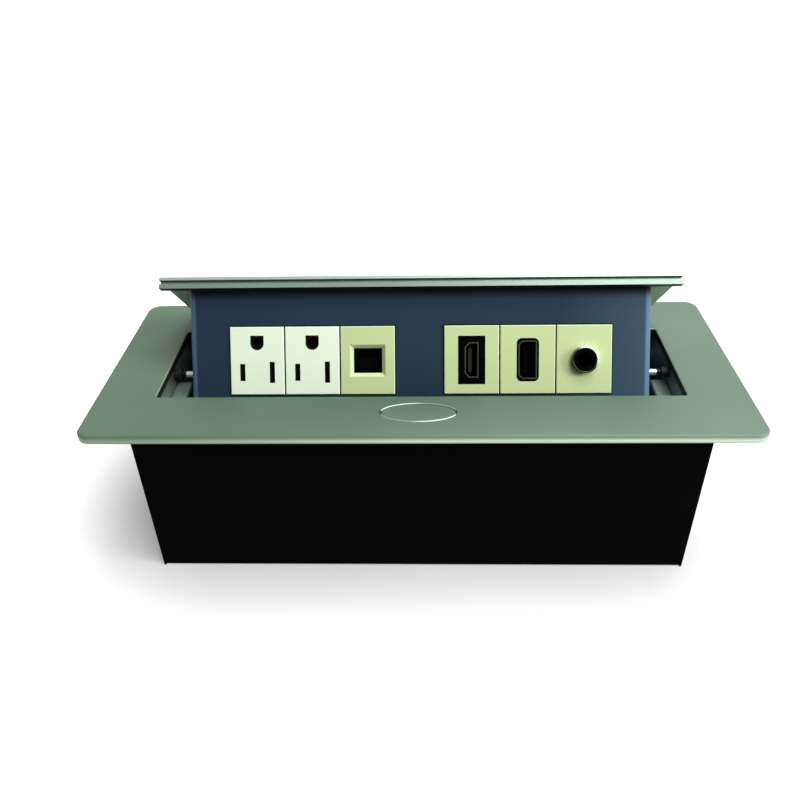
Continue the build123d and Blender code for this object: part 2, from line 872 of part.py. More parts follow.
save(latch_rivets, "latch_rivets")


# Screws that hold the brackets, the box, the button guide and the damper
under_frame = Plane.XY.offset(box_height)
save_screws(
    "bracket_screws",
    under_frame.offset(-bracket_sheet),
    [(side * bracket_screw_x, y) for side in (-1, 1) for y in bracket_screw_places],
    bracket_sheet + frame_screw_depth - 0.1,
)
save_screws(
    "shell_screws",
    under_frame.offset(-sheet),
    [(x, end * lip_middle) for x in lip_screw_places for end in (-1, 1)],
    sheet + frame_screw_depth - 0.1,
)
save_screws(
    "guide_screws",
    under_frame.offset(-bracket_sheet),
    [(-guide_screw_x, button_y), (guide_screw_x, button_y)],
    bracket_sheet + frame_screw_depth - 0.1,
)
damper_seat = Plane(
    origin=(-bracket_x + bracket_sheet, 0, 0),
    x_dir=(0, 1, 0),
    z_dir=(-1, 0, 0),
)
save_screws(
    "damper_screws",
    damper_seat,
    [(y, -z) for y, z in damper_ears],
    2 * bracket_sheet,
)


# Cable gland and its nut
with BuildPart() as cable_gland:
    with BuildSketch(rear_wall):
        with Locations((-gland_x, gland_z)):
            RegularPolygon(gland_hex / 2, 6, major_radius=False)
    extrude(amount=3.0)
    with BuildSketch(rear_wall.offset(3.0)):
        with Locations((-gland_x, gland_z)):
            Circle(gland_dome_radius)
    extrude(amount=4.8)
    fillet(cable_gland.faces().sort_by(Axis.Y)[-1].edges(), radius=3.0)
    with BuildSketch(rear_wall):
        with Locations((-gland_x, gland_z)):
            Circle(gland_thread_radius)
    extrude(amount=-gland_thread_length)
    with BuildSketch(rear_wall.offset(9.0)):
        with Locations((-gland_x, gland_z)):
            Circle(gland_bore_radius)
    extrude(amount=-20.0, mode=Mode.SUBTRACT)

save(cable_gland, "cable_gland")

with BuildPart() as gland_nut:
    with BuildSketch(rear_wall.offset(-sheet)):
        with Locations((-gland_x, gland_z)):
            RegularPolygon(gland_hex / 2, 6, major_radius=False)
            Circle(gland_thread_radius + seat_clearance, mode=Mode.SUBTRACT)
    extrude(amount=-4.0)

save(gland_nut, "gland_nut")

# Cable grommet, a rubber ring with a flange on each side of the wall
with BuildPart() as cable_grommet:
    with BuildSketch(rear_wall):
        with Locations((-grommet_x, grommet_z)):
            SlotOverall(grommet_length + 2 * grommet_wall, grommet_height + 2 * grommet_wall)
    extrude(amount=grommet_flange)
    fillet(cable_grommet.faces().sort_by(Axis.Y)[-1].edges(), radius=0.6)
    with BuildSketch(rear_wall):
        with Locations((-grommet_x, grommet_z)):
            SlotOverall(grommet_length - 2 * seat_clearance, grommet_height - 2 * seat_clearance)
    extrude(amount=-sheet)
    with BuildSketch(rear_wall.offset(-sheet)):
        with Locations((-grommet_x, grommet_z)):
            SlotOverall(grommet_length + 2 * grommet_wall, grommet_height + 2 * grommet_wall)
    extrude(amount=-grommet_flange)
    with BuildSketch(rear_wall.offset(grommet_flange + 0.5)):
        with Locations((-grommet_x, grommet_z)):
            SlotOverall(grommet_length - 2 * grommet_wall, grommet_height - 2 * grommet_wall)
    extrude(amount=-sheet - 2 * grommet_flange - 1.0, mode=Mode.SUBTRACT)

save(cable_grommet, "cable_grommet")


# Lid: an extrusion with two rails below and a grooved nose along its front
groove_top = lid_top - groove_drop
groove_low = groove_top - groove_height
nose_back = lid_front + nose_depth
front_rail = lid_front + front_rail_setback
rear_rail = lid_rear - rear_rail_from_edge - rear_rail_width

with BuildPart() as lid:
    with BuildSketch(cradle_side):
        with BuildLine():
            Polyline(
                (lid_front, lid_top),
                (lid_rear, lid_top),
                (lid_rear - lid_rear_bevel, lid_under),
                (nose_back, lid_under),
                (nose_back, lid_top - nose_height),
                (lid_front, lid_top - nose_height),
                (lid_front, groove_low),
                (lid_front + groove_depth, groove_low),
                (lid_front + groove_depth, groove_top),
                (lid_front, groove_top),
                close=True,
            )
        make_face()
    extrude(amount=half_lid, both=True)
    with BuildSketch(Plane(origin=in_space(0, rail_under), x_dir=(1, 0, 0), z_dir=cradle_up)):
        with Locations((0, front_rail + front_rail_width / 2)):
            Rectangle(panel_width, front_rail_width)
        with Locations((0, rear_rail + rear_rail_width / 2)):
            Rectangle(panel_width, rear_rail_width)
    extrude(amount=rail_height + lid_skin / 2)
    front_top = lid.edges().filter_by(Axis.X).filter_by(
        lambda e: (e.center() - in_space(lid_front, lid_top)).length < 0.01
    )
    fillet(front_top, radius=0.5)
    with BuildSketch(Plane(origin=in_space(0, rail_under), x_dir=(1, 0, 0), z_dir=cradle_up)):
        with Locations(*[(x, front_rail + front_rail_width / 2) for x in lid_screw_places]):
            Circle(screw_radius)
    extrude(amount=lid_screw_depth, mode=Mode.SUBTRACT)

save(lid, "lid")

flange_under = Plane(origin=in_space(0, rail_under - sheet), x_dir=(1, 0, 0), z_dir=cradle_up)
save_screws(
    "lid_screws",
    flange_under,
    [(x, front_rail + front_rail_width / 2) for x in lid_screw_places],
    sheet + lid_screw_depth - 0.1,
)


# Socket panel: front sheet, top flange and two cheeks with an arm to the pivot
shoulder_y = opening_depth / 2 - cheek_shoulder_gap
shoulder_top = from_space(shoulder_y, frame_top)
shoulder_low = from_space(shoulder_y, box_height - 1.2)
neck_corner = neck_radius * math.cos(math.radians(45))
stud_at = (
    stud_orbit * math.cos(math.radians(stud_angle)),
    stud_orbit * math.sin(math.radians(stud_angle)),
)
guide_orbit = math.hypot(guide_pin_back - pivot_back, guide_pin_z - pivot_z)
guide_closed = math.degrees(math.atan2(guide_pin_z - pivot_z, guide_pin_back - pivot_back))
window_width = 2 * module_pitch + module_width - 3.4 + 0.5
window_height = module_height - 3.4
guide_arc = CenterArc((0, 0), guide_orbit, guide_closed, open_angle)

with BuildPart() as socket_panel:
    for side in (-1, 1):
        with BuildSketch(cradle_side.offset(side * half_panel)):
            with BuildLine():
                Polyline(
                    (neck_radius, 0),
                    (neck_radius, -cheek_tail_drop),
                    (panel_front(panel_bottom) + cheek_tail_width, panel_bottom),
                    (panel_front(panel_bottom), panel_bottom),
                    (panel_front(rail_under), rail_under),
                    (rear_rail + rear_rail_width + 0.5, rail_under),
                    shoulder_top,
                    shoulder_low,
                    (0, neck_radius),
                )
                ThreePointArc((0, neck_radius), (neck_corner, neck_corner), (neck_radius, 0))
            make_face()
            Circle(pin_radius + running_clearance, mode=Mode.SUBTRACT)
            with Locations(stud_at):
                Circle(stud_radius, mode=Mode.SUBTRACT)
            SlotArc(guide_arc, 2 * (guide_pin_radius + guide_slot_gap), mode=Mode.SUBTRACT)
            if side < 0:
                with Locations(*sector_rivets_at):
                    Circle(screw_radius, mode=Mode.SUBTRACT)
        extrude(amount=-side * sheet)
    with BuildSketch(cradle_side):
        with BuildLine():
            Polyline(
                (panel_front(rail_under), rail_under),
                (panel_front(panel_bottom), panel_bottom),
                (panel_front(panel_bottom) + sheet / math.cos(tilt), panel_bottom),
                (panel_front(rail_under) + sheet / math.cos(tilt), rail_under),
                close=True,
            )
        make_face()
    extrude(amount=half_panel, both=True)
    with BuildSketch(cradle_side):
        with BuildLine():
            Polyline(
                (panel_front(rail_under), rail_under),
                (panel_front(rail_under - sheet), rail_under - sheet),
                (panel_front(rail_under) + flange_depth, rail_under - sheet),
                (panel_front(rail_under) + flange_depth, rail_under),
                close=True,
            )
        make_face()
    extrude(amount=half_panel - 4.0, both=True)
    outer_fold = socket_panel.edges().filter_by(
        lambda e: abs(abs(e.center().X) - half_panel) < 0.01
        and e.length > panel_length / 2
        and abs(face.to_local_coords(e.center()).Z) < 0.05
    )
    fillet(outer_fold, radius=panel_bend_radius)
    inner_fold = socket_panel.edges().filter_by(
        lambda e: abs(abs(e.center().X) - half_panel + sheet) < 0.01
        and e.length > panel_length / 2
        and abs(face.to_local_coords(e.center()).Z + sheet) < 0.05
    )
    fillet(inner_fold, radius=panel_bend_radius - sheet)
    with BuildSketch(face):
        with Locations((left_group_x, -module_drop), (right_group_x, -module_drop)):
            Rectangle(window_width, window_height)
    extrude(amount=-sheet * 2, mode=Mode.SUBTRACT)
    with BuildSketch(flange_under):
        with Locations(*[(x, front_rail + front_rail_width / 2) for x in lid_screw_places]):
            Circle(screw_radius)
    extrude(amount=sheet, mode=Mode.SUBTRACT)

save(socket_panel, "socket_panel")

with BuildPart() as spring_studs:
    for side in (-1, 1):
        with BuildSketch(cradle_side.offset(side * (half_panel - sheet))):
            with Locations(stud_at):
                Circle(stud_radius * 1.8)
        extrude(amount=-side * 1.0)
        with BuildSketch(cradle_side.offset(side * (half_panel - sheet))):
            with Locations(stud_at):
                Circle(stud_radius - seat_clearance)
        extrude(amount=side * (sheet + stud_length))

save(spring_studs, "spring_studs")


# Socket modules
body_width = module_width - 3.4
body_height = window_height - 2 * window_gap
face_back = module_proud - module_face


def bezel(name, x, width, height, corner_radius=0.0, bevel=0.0):
    """A snap-in bezel with a hollow body; its opening is round when the height is zero."""
    with BuildPart() as frame:
        with BuildSketch(face):
            with Locations((x, -module_drop)):
                Rectangle(module_width, module_height)
        extrude(amount=module_proud)
        fillet(frame.faces().sort_by(face_axis)[-1].edges(), radius=module_edge_radius)
        with BuildSketch(face):
            with Locations((x, -module_drop)):
                Rectangle(body_width, body_height)
        extrude(amount=-module_body_depth)
        with BuildSketch(face.offset(-sheet - 0.1)):
            with Locations((x, -module_drop)):
                Rectangle(hook_length, window_height + 2 * hook_reach)
        extrude(amount=-1.5)
        with BuildSketch(face.offset(face_back)):
            with Locations((x, -module_drop)):
                Rectangle(body_width - 2 * module_wall, body_height - 2 * module_wall)
        extrude(amount=-module_body_depth, mode=Mode.SUBTRACT)
        with BuildSketch(face.offset(module_proud)):
            with Locations((x, -socket_drop)):
                if corner_radius > 0:
                    RectangleRounded(width, height, corner_radius)
                elif height > 0:
                    Rectangle(width, height)
                else:
                    Circle(width / 2)
        extrude(amount=-module_face, mode=Mode.SUBTRACT)
        if bevel > 0:
            mouth = frame.edges().filter_by(
                lambda e: abs(face.to_local_coords(e.center()).Z - module_proud) < 0.01
                and abs(face.to_local_coords(e.center()).X - x) < width / 2 + 0.1
                and abs(face.to_local_coords(e.center()).Y + socket_drop) < height / 2 + 0.1
            )
            chamfer(mouth, length=bevel)
    save(frame, name)


def outlet(number, x):
    """A three-pin mains outlet: cover with slots, housing with pockets, and contacts."""
    left_x = x - blade_spacing / 2
    right_x = x + blade_spacing / 2
    blade_y = -module_drop - blade_drop
    ground_y = -module_drop + ground_rise
    with BuildPart() as cover:
        with BuildSketch(face):
            with Locations((x, -module_drop)):
                Rectangle(module_width, module_height)
        extrude(amount=module_proud)
        fillet(cover.faces().sort_by(face_axis)[-1].edges(), radius=module_edge_radius)
        with BuildSketch(face):
            with Locations((x, -module_drop)):
                Rectangle(body_width, body_height)
        extrude(amount=face_back)
        with BuildSketch(face.offset(module_proud)):
            with Locations((left_x, blade_y)):
                Rectangle(blade_slot_width, short_slot)
            with Locations((right_x, blade_y)):
                Rectangle(blade_slot_width, long_slot)
            with Locations((x, ground_y - ground_height / 2 + ground_width / 2)):
                Circle(ground_width / 2)
            with Locations((x, ground_y + ground_width / 4)):
                Rectangle(ground_width, ground_height - ground_width / 2)
        extrude(amount=-module_face, mode=Mode.SUBTRACT)
    save(cover, f"outlet_{number}_cover")
    with BuildPart() as housing:
        with BuildSketch(face.offset(face_back)):
            with Locations((x, -module_drop)):
                Rectangle(body_width, body_height)
        extrude(amount=-outlet_housing_depth)
        with BuildSketch(face.offset(face_back)):
            with Locations((x, -module_drop)):
                Rectangle(hook_length, window_height + 2 * hook_reach)
        extrude(amount=-1.5)
        with BuildSketch(face.offset(face_back)):
            with Locations((left_x, blade_y), (right_x, blade_y)):
                Rectangle(blade_slot_width + 1.8, long_slot + 0.8)
            with Locations((x, ground_y)):
                Circle(ground_width / 2 + 0.8)
        extrude(amount=-contact_setback - contact_depth, mode=Mode.SUBTRACT)
    save(housing, f"outlet_{number}_housing")
    contact_front = face_back - contact_setback
    with BuildPart() as contacts:
        with BuildSketch(face.offset(contact_front)):
            for blade_x in (left_x, right_x):
                for side in (-1, 1):
                    with Locations((blade_x + side * (blade_slot_width / 2 + 0.3), blade_y)):
                        Rectangle(contact_sheet, short_slot)
            with Locations((x, ground_y)):
                Circle(ground_width / 2 + 0.4)
                Circle(ground_width / 2 + 0.4 - contact_sheet, mode=Mode.SUBTRACT)
        extrude(amount=-contact_depth)
        with BuildSketch(face.offset(contact_front - contact_depth + contact_sheet)):
            for blade_x in (left_x, right_x):
                with Locations((blade_x, blade_y)):
                    Rectangle(blade_slot_width + 0.6 + contact_sheet, short_slot)
        extrude(amount=-contact_sheet)
    save(contacts, f"outlet_{number}_contacts")


outlet_1_x = left_group_x - module_pitch
outlet_2_x = left_group_x
data_x = left_group_x + module_pitch
video_x = right_group_x - module_pitch
display_x = right_group_x
audio_x = right_group_x + module_pitch

outlet(1, outlet_1_x)
outlet(2, outlet_2_x)
bezel("data_frame", data_x, jack_mouth_width, jack_mouth_height, bevel=jack_bevel)
bezel("video_frame", video_x, video_insert_width, video_insert_height)
bezel(
    "display_frame",
    display_x,
    display_insert_width,
    display_insert_height,
    corner_radius=display_corner_radius,
)
bezel("audio_frame", audio_x, 2 * (audio_barrel_radius + seat_clearance), 0)

# Terminal cover over the wiring of both outlets
terminal_top = face_back - outlet_housing_depth
terminal_width = module_pitch + body_width
with BuildPart() as terminal_cover:
    with BuildSketch(face.offset(terminal_top)):
        with Locations(((outlet_1_x + outlet_2_x) / 2, -module_drop)):
            Rectangle(terminal_width, body_height)
    extrude(amount=-terminal_depth)
    with BuildSketch(face.offset(terminal_top)):
        with Locations(((outlet_1_x + outlet_2_x) / 2, -module_drop)):
            Rectangle(terminal_width - 2 * module_wall, body_height - 2 * module_wall)
    extrude(amount=module_wall - terminal_depth, mode=Mode.SUBTRACT)
    with BuildSketch(face.offset(terminal_top - terminal_depth)):
        with Locations((outlet_2_x, -module_drop - 4.0)):
            Circle(3.0)
    extrude(amount=module_wall * 2, mode=Mode.SUBTRACT)

save(terminal_cover, "terminal_cover")

# Data jack with its wires
with BuildPart() as data_jack:
    with BuildSketch(face.offset(face_back)):
        with Locations((data_x, -socket_drop)):
            Rectangle(jack_body_width, jack_body_height)
    extrude(amount=-jack_depth)
    with BuildSketch(face.offset(face_back)):
        with Locations((data_x, -socket_drop)):
            Rectangle(jack_mouth_width, jack_mouth_height)
    extrude(amount=-jack_mouth_depth, mode=Mode.SUBTRACT)

save(data_jack, "data_jack")

# The wires slope from the roof of the jack, near its mouth, to its rear wall
wire_side = Plane(origin=face.origin, x_dir=face_out, z_dir=(1, 0, 0))
wire_top = socket_drop - jack_mouth_height / 2
wire_back = face_back - jack_mouth_depth
with BuildPart() as data_contacts:
    for place in range(data_wires):
        wire_x = data_x + (place - (data_wires - 1) / 2) * data_wire_pitch
        with BuildSketch(wire_side.offset(wire_x - data_wire_width / 2)):
            with BuildLine():
                Polyline(
                    (-3.5, wire_top),
                    (-2.5, wire_top),
                    (-2.5, wire_top + 0.4),
                    (wire_back, wire_top + 4.6),
                    (wire_back, wire_top + 4.1),
                    (-3.5, wire_top + 0.3),
                    close=True,
                )
            make_face()
        extrude(amount=data_wire_width)

save(data_contacts, "data_contacts")


def mouth_corners(width, height, bevel):
    """Corners of an upright mouth whose two left corners are bevelled."""
    return [
        (width / 2, height / 2),
        (bevel - width / 2, height / 2),
        (-width / 2, height / 2 - bevel),
        (-width / 2, bevel - height / 2),
        (bevel - width / 2, -height / 2),
        (width / 2, -height / 2),
    ]


def slim_socket(name, x, insert_size, corner_radius, mouth_size, bevel, ring_proud):
    """A tall slim socket: plastic insert, metal shell in its mouth, and a contact tongue."""
    front = module_proud - insert_setback
    width, height = insert_size
    mouth_width, mouth_height = mouth_size
    with BuildPart() as insert:
        with BuildSketch(face.offset(front)):
            with Locations((x, -socket_drop)):
                if corner_radius > 0:
                    RectangleRounded(
                        width - 2 * seat_clearance,
                        height - 2 * seat_clearance,
                        corner_radius,
                    )
                else:
                    Rectangle(width - 2 * seat_clearance, height - 2 * seat_clearance)
        extrude(amount=-insert_depth)
        with BuildSketch(face.offset(front)):
            with Locations((x, -socket_drop)):
                Polygon(*mouth_corners(mouth_width, mouth_height, bevel))
        extrude(amount=-mouth_depth, mode=Mode.SUBTRACT)
    save(insert, f"{name}_insert")
    with BuildPart() as shell:
        with BuildSketch(face.offset(front + ring_proud)):
            with Locations((x, -socket_drop)):
                Polygon(
                    *mouth_corners(
                        mouth_width - 2 * seat_clearance,
                        mouth_height - 2 * seat_clearance,
                        bevel,
                    )
                )
                Polygon(
                    *mouth_corners(
                        mouth_width - 2 * shell_wall,
                        mouth_height - 2 * shell_wall,
                        bevel - shell_wall * 0.6,
                    ),
                    mode=Mode.SUBTRACT,
                )
        extrude(amount=-mouth_depth - ring_proud)
    save(shell, f"{name}_shell")
    with BuildPart() as tongue:
        with BuildSketch(face.offset(front - mouth_depth)):
            with Locations((x - 0.6, -socket_drop)):
                Rectangle(tongue_thickness, mouth_height - 2 * bevel - 1.0)
        extrude(amount=mouth_depth - tongue_setback)
    save(tongue, f"{name}_tongue")


slim_socket(
    "video",
    video_x,
    (video_insert_width, video_insert_height),
    0.0,
    (video_mouth_width, video_mouth_height),
    video_mouth_bevel,
    0.0,
)
slim_socket(
    "display",
    display_x,
    (display_insert_width, display_insert_height),
    display_corner_radius,
    (display_ring_width, display_ring_height),
    display_ring_bevel,
    insert_setback,
)

# Audio jack: a barrel behind the bezel, a threaded neck in front of it and a round nut
with BuildPart() as audio_jack:
    with BuildSketch(face.offset(module_proud)):
        with Locations((audio_x, -socket_drop)):
            Circle(audio_barrel_radius)
    extrude(amount=-audio_barrel_length)
    with BuildSketch(face.offset(module_proud)):
        with Locations((audio_x, -socket_drop)):
            Circle(audio_neck_radius)
    extrude(amount=audio_neck_height)
    with BuildSketch(face.offset(module_proud + audio_neck_height)):
        with Locations((audio_x, -socket_drop)):
            Circle(audio_bore_radius)
    extrude(amount=-15.0, mode=Mode.SUBTRACT)

save(audio_jack, "audio_jack")

with BuildPart() as audio_nut:
    with BuildSketch(face.offset(module_proud)):
        with Locations((audio_x, -socket_drop)):
            Circle(audio_nut_radius)
            Circle(audio_neck_radius + running_clearance, mode=Mode.SUBTRACT)
    extrude(amount=audio_nut_height)
    fillet(audio_nut.faces().sort_by(face_axis)[-1].edges(), radius=0.25)

save(audio_nut, "audio_nut")
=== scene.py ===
import json
import math

import bmesh
import bpy
from mathutils import Matrix, Vector


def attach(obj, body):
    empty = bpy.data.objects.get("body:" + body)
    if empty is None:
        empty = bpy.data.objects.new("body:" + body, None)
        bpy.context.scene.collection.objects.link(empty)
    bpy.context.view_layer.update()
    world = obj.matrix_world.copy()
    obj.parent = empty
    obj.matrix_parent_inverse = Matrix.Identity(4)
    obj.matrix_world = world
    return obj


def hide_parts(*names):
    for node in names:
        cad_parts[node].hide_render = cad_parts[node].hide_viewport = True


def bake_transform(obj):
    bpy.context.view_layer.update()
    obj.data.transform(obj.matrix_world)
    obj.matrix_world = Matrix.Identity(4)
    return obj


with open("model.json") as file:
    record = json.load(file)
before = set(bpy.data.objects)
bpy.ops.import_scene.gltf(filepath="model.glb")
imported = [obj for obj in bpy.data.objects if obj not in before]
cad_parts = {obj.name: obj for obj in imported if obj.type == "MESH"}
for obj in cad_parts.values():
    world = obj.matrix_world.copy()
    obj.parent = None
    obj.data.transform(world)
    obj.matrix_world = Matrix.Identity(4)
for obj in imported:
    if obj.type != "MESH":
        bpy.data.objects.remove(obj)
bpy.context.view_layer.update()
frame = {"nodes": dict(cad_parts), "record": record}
nodes = frame["nodes"]

MM = 0.001
ACROSS = Vector((1, 0, 0))
DEEP = Vector((0, 1, 0))
UP = Vector((0, 0, 1))


# Camera, as fitted to the straight edges of the object in the photograph
CAMERA_AT = Vector((3.416, -289.01, 263.28)) * MM
YAW, PITCH, ROLL = (math.radians(a) for a in (-2.4264, 35.1605, -1.6207))
FOCAL_PIXELS = 775.75
PICTURE_PIXELS = 800
SENSOR_WIDTH = 36.0


def make_camera():
    """Puts the camera where the photograph was taken from."""
    ahead = Vector((
        math.sin(YAW) * math.cos(PITCH),
        math.cos(YAW) * math.cos(PITCH),
        -math.sin(PITCH),
    ))
    level = Vector((math.cos(YAW), -math.sin(YAW), 0))
    over = level.cross(ahead)
    right = level * math.cos(ROLL) + over * math.sin(ROLL)
    up = -level * math.sin(ROLL) + over * math.cos(ROLL)
    data = bpy.data.cameras.new("camera")
    data.sensor_width = SENSOR_WIDTH
    data.lens = SENSOR_WIDTH * FOCAL_PIXELS / PICTURE_PIXELS
    data.clip_start, data.clip_end = 0.01, 20
    camera = bpy.data.objects.new("camera", data)
    turn = Matrix((right, up, -ahead)).transposed().to_4x4()
    camera.matrix_world = Matrix.Translation(CAMERA_AT) @ turn
    bpy.context.scene.collection.objects.link(camera)
    bpy.context.scene.camera = camera


# Directions and places on the open object, in metres
LID_TURN = math.radians(43.5)
FACE_TURN = math.radians(30.5)
LID_UP = Vector((0, math.sin(LID_TURN), math.cos(LID_TURN)))
LID_FRONT = Vector((0, -math.cos(LID_TURN), math.sin(LID_TURN)))
FACE_OUT = Vector((0, -math.cos(FACE_TURN), math.sin(FACE_TURN)))
FACE_UP = Vector((0, math.sin(FACE_TURN), math.cos(FACE_TURN)))


def reach(node, direction):
    """How far a node's mesh goes along a direction."""
    return max(v.co.dot(direction) for v in nodes[node].data.vertices)


FRAME_TOP = reach("top_frame", UP)
FRAME_HALF = (reach("top_frame", ACROSS), reach("top_frame", DEEP))
FRAME_THICKNESS = 3.5 * MM
RIM_WIDTH = 2.1 * MM
LID_TOP = reach("lid", LID_UP)
NOSE_FRONT = reach("lid", LID_FRONT)
NOSE_DEPTH = 3.5 * MM
GROOVE_TOP = 1.5 * MM
GROOVE_FOOT = GROOVE_TOP + 1.6 * MM
PANEL_HALF = reach("socket_panel", ACROSS)
PANEL_TOP = reach("socket_panel", FACE_UP)
# how far past the panel's side the guide pins turn near black
PIN_DARK_FROM = 6.35 * MM
BUTTON_CENTRE = (0, -38.4 * MM)
BUTTON_HALF = (15.0 * MM, 5.8 * MM)
BUTTON_GAP = 0.25 * MM
MODULE_ROWS = (("outlet_1_cover", "data_frame"), ("video_frame", "audio_frame"))


# Noise scales of the finishes, in cells per metre
SATIN_GRAIN = 2600
BRUSH_LINES = 900
COAT_PEEL = 1400
PANEL_PEEL = 1500
MOULD_GRAIN = 1500
RUBBER_GRAIN = 900
METAL_CLOUDS = 14
COAT_CLOUDS = 9
MOULD_FLOW = 40


# Shader nodes
class Nodes:
    """A material's node tree, with short calls for the nodes used here."""

    def __init__(self, name, roughness, metallic=0.0, **sockets):
        self.material = bpy.data.materials.new(name)
        self.material.use_nodes = True
        self.tree = self.material.node_tree
        self.shader = self.tree.nodes["Principled BSDF"]
        self.shader.inputs["Roughness"].default_value = roughness
        self.shader.inputs["Metallic"].default_value = metallic
        for socket, value in sockets.items():
            self.shader.inputs[socket.replace("_", " ")].default_value = value
        coordinates = self.add("ShaderNodeTexCoord")
        self.point = coordinates.outputs["Object"]
        self.normal = coordinates.outputs["Normal"]

    def add(self, kind, **values):
        """Adds a node and sets its own values."""
        node = self.tree.nodes.new(kind)
        for key, value in values.items():
            setattr(node, key, value)
        return node

    def link(self, output, socket):
        self.tree.links.new(output, socket)

    def feed(self, socket, value):
        """Gives a socket another node's output, or a plain value."""
        if hasattr(value, "links"):
            self.link(value, socket)
        else:
            socket.default_value = value

    def maths(self, operation, a, b=0.0):
        """One operation on two numbers or outputs."""
        node = self.add("ShaderNodeMath", operation=operation)
        self.feed(node.inputs[0], a)
        self.feed(node.inputs[1], b)
        return node.outputs["Value"]

    def times(self, first, *others):
        """The product of several masks."""
        result = first
        for other in others:
            result = self.maths("MULTIPLY", result, other)
        return result

    def other(self, mask):
        """What is left of a mask that goes from 0 to 1."""
        return self.maths("SUBTRACT", 1.0, mask)

    def ramp(self, value, start, end, low=0.0, high=1.0, kind="LINEAR"):
        """Goes from low to high, and stays there, as a value goes from start to end."""
        node = self.add("ShaderNodeMapRange", interpolation_type=kind)
        node.inputs["From Min"].default_value = start
        node.inputs["From Max"].default_value = end
        node.inputs["To Min"].default_value = low
        node.inputs["To Max"].default_value = high
        self.link(value, node.inputs["Value"])
        return node.outputs["Result"]

    def step(self, value, place, soft=0.1 * MM):
        """0 before a place and 1 after it, with a soft edge."""
        return self.ramp(value, place - soft, place + soft)

    def noise(self, scale, detail=2.0, stretch=(1, 1, 1)):
        """Noise that stays with the object, drawn out where its stretch is small."""
        mapping = self.add("ShaderNodeMapping")
        mapping.inputs["Scale"].default_value = stretch
        self.link(self.point, mapping.inputs["Vector"])
        node = self.add("ShaderNodeTexNoise")
        node.inputs["Scale"].default_value = scale
        node.inputs["Detail"].default_value = detail
        self.link(mapping.outputs["Vector"], node.inputs["Vector"])
        return node.outputs["Fac"]

    def spread(self, noise, low=0.0, high=1.0):
        """Spreads the middle values of a noise, which are most of it, over a range."""
        return self.ramp(noise, 0.3, 0.7, low, high)

    def grain(self, noise, roughness, strength, height):
        """Lets a noise vary the roughness between two values and raise the surface."""
        self.link(self.spread(noise, *roughness), self.shader.inputs["Roughness"])
        node = self.add("ShaderNodeBump")
        node.inputs["Strength"].default_value = strength
        node.inputs["Distance"].default_value = height
        self.link(noise, node.inputs["Height"])
        self.link(node.outputs["Normal"], self.shader.inputs["Normal"])

    def along(self, vector, direction):
        node = self.add("ShaderNodeVectorMath", operation="DOT_PRODUCT")
        self.link(vector, node.inputs[0])
        node.inputs[1].default_value = direction
        return node.outputs["Value"]

    def place_along(self, direction):
        """How far a point of the surface lies along a direction, in metres."""
        return self.along(self.point, direction)

    def facing(self, direction):
        """How far the surface faces a direction of the part, from -1 to 1."""
        return self.along(self.normal, direction)

    def past_rectangle(self, across, along, centre, half):
        """The distance outside a rectangle, below zero inside it."""
        over = []
        for place, middle, half_side in zip((across, along), centre, half):
            off = self.maths("ABSOLUTE", self.maths("SUBTRACT", place, middle))
            over.append(self.maths("SUBTRACT", off, half_side))
        return self.maths("MAXIMUM", *over)

    def mix(self, factor, a, b):
        """Goes from colour a to colour b as the factor goes from 0 to 1."""
        node = self.add("ShaderNodeMix", data_type="RGBA")
        for name, value in (("A", a), ("B", b)):
            socket = [s for s in node.inputs if s.name == name and s.type == "RGBA"][0]
            self.feed(socket, value if hasattr(value, "links") else (*value, 1))
        self.feed(node.inputs["Factor"], factor)
        return [s for s in node.outputs if s.type == "RGBA"][0]

    def colour(self, value):
        self.feed(self.shader.inputs["Base Color"], value)


def linear(r, g, b):
    """The linear colour that shows as these screen values from 0 to 255."""
    def one(c):
        c = c / 255
        return c / 12.92 if c <= 0.04045 else ((c + 0.055) / 1.055) ** 2.4
    return (one(r), one(g), one(b))


def shade(colour, amount):
    """A colour made darker in proportion."""
    return tuple(c * amount for c in colour)


# Finishes
def satin(m, dark, light, roughness):
    """The fine grain and faint clouds of blasted, anodised aluminium."""
    clouds = m.noise(METAL_CLOUDS, 3)
    grain = m.noise(SATIN_GRAIN, 1.5)
    m.grain(grain, (roughness - 0.05, roughness + 0.06), 0.10, 0.06 * MM)
    return m.mix(m.spread(clouds), dark, light)


def satin_metal(name, dark, light, roughness=0.42):
    """Plain satin aluminium."""
    m = Nodes(name, roughness, 0.15)
    m.colour(satin(m, dark, light, roughness))
    return m.material


